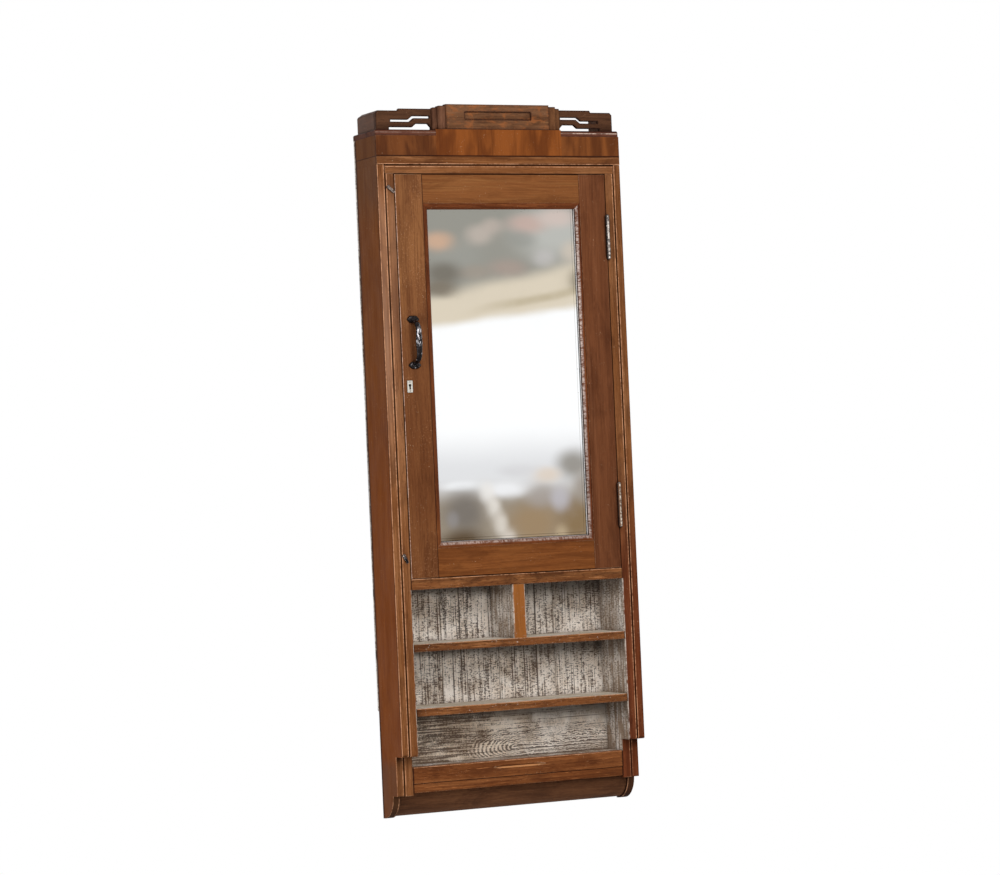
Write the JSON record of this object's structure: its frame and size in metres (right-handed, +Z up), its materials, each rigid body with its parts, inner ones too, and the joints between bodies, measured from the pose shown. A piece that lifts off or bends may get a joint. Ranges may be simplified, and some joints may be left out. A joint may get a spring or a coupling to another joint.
{
  "type": "mirror cabinet",
  "caption": "Tall narrow wall cabinet with a hinged mirrored door, open compartments below, a stepped fretted crest and a curved foot.",
  "frame": {"origin": "on the wall plane, midway between the two fixing screw holes", "axes": "+X to the viewer's right, +Y back into the wall, +Z up"},
  "size_m": [0.46, 0.1204, 1.2059],
  "materials": {
    "case_wood": "worn shellac",
    "shelf_wood": "worn, with orange-brown front edges",
    "whitewashed_wood": "rubbed whitewash over dark grain",
    "frieze_veneer": "cross-grain veneer, satin",
    "frieze_wood": "satin",
    "crest_wood": "dark, worn",
    "inner_wood": "plain, unfinished",
    "door_wood": "worn shellac",
    "door_rail_wood": "worn shellac",
    "bead_wood": "reddish polish",
    "mirror": "old silvered plate",
    "backing_wood": "plain board",
    "dark_iron": "blackened, rubbed at the edges",
    "worn_steel": "dull and worn",
    "painted_plate": "off-white, rubbed",
    "plate_pins": "dull"
  },
  "bodies": {
    "cabinet": {"side_left": "case_wood", "side_right": "case_wood", "upright_left": "case_wood", "upright_right": "case_wood", "top_board": "case_wood", "head_board": "case_wood", "bottom_rail": "case_wood", "base_strip": "case_wood", "base_curve": "case_wood", "cupboard_floor": "shelf_wood", "pigeonhole_divider": "shelf_wood", "shelf_middle": "shelf_wood", "shelf_lower": "shelf_wood", "base_board": "shelf_wood", "back_planks": "whitewashed_wood", "lower_back_board": "whitewashed_wood", "frieze_front": "frieze_veneer", "frieze_side_left": "frieze_wood", "frieze_side_right": "frieze_wood", "cornice_slab": "frieze_wood", "crest_plaque": "crest_wood", "crest_flutes_left": "crest_wood", "crest_flutes_right": "crest_wood", "crest_fret_left": "crest_wood", "crest_fret_right": "crest_wood", "crest_side_left": "crest_wood", "crest_side_right": "crest_wood", "inner_shelf_upper": "inner_wood", "inner_shelf_lower": "inner_wood", "shelf_cleats": "inner_wood", "door_stops": "inner_wood", "fixing_rail": "inner_wood", "turn_button_screws": "dark_iron", "hinge_upper_frame_leaf": "worn_steel", "hinge_lower_frame_leaf": "worn_steel", "hinge_pins": "worn_steel", "frame_screws": "worn_steel", "strike_plate": "worn_steel"},
    "door": {"door_stile_left": "door_wood", "door_stile_right": "door_wood", "door_rail_top": "door_rail_wood", "door_rail_bottom": "door_rail_wood", "mirror_glass": "mirror", "backing_board": "backing_wood", "bead_left": "bead_wood", "bead_right": "bead_wood", "bead_top": "bead_wood", "bead_bottom": "bead_wood", "pull_handle": "dark_iron", "handle_screws": "dark_iron", "door_hinge_screws": "worn_steel", "escutcheon": "painted_plate", "escutcheon_pins": "plate_pins", "lock_case": "dark_iron", "hinge_upper_door_leaf": "worn_steel", "hinge_lower_door_leaf": "worn_steel"},
    "bolt": {"lock_bolt": "worn_steel"},
    "upper_button": {"turn_button_upper": "dark_iron"},
    "lower_button": {"turn_button_lower": "dark_iron"}
  },
  "joints": [
    {"name": "door_hinge", "type": "hinge", "parent": "cabinet", "child": "door", "pos_m": [0.1993, -0.0989, -0.3], "axis": [0, 0, 1], "range_deg": [0, 110]},
    {"name": "lock_bolt_slide", "type": "slide", "parent": "door", "child": "bolt", "axis": [-1, 0, 0], "range_m": [0, 0.006]},
    {"name": "turn_button_upper_turn", "type": "hinge", "parent": "cabinet", "child": "upper_button", "pos_m": [-0.2114, -0.0963, -0.0002], "axis": [0, -1, 0], "range_deg": [-50, 40]},
    {"name": "turn_button_lower_turn", "type": "hinge", "parent": "cabinet", "child": "lower_button", "pos_m": [-0.2114, -0.0963, -0.6202], "axis": [0, -1, 0], "range_deg": [-28, 62]}
  ]
}
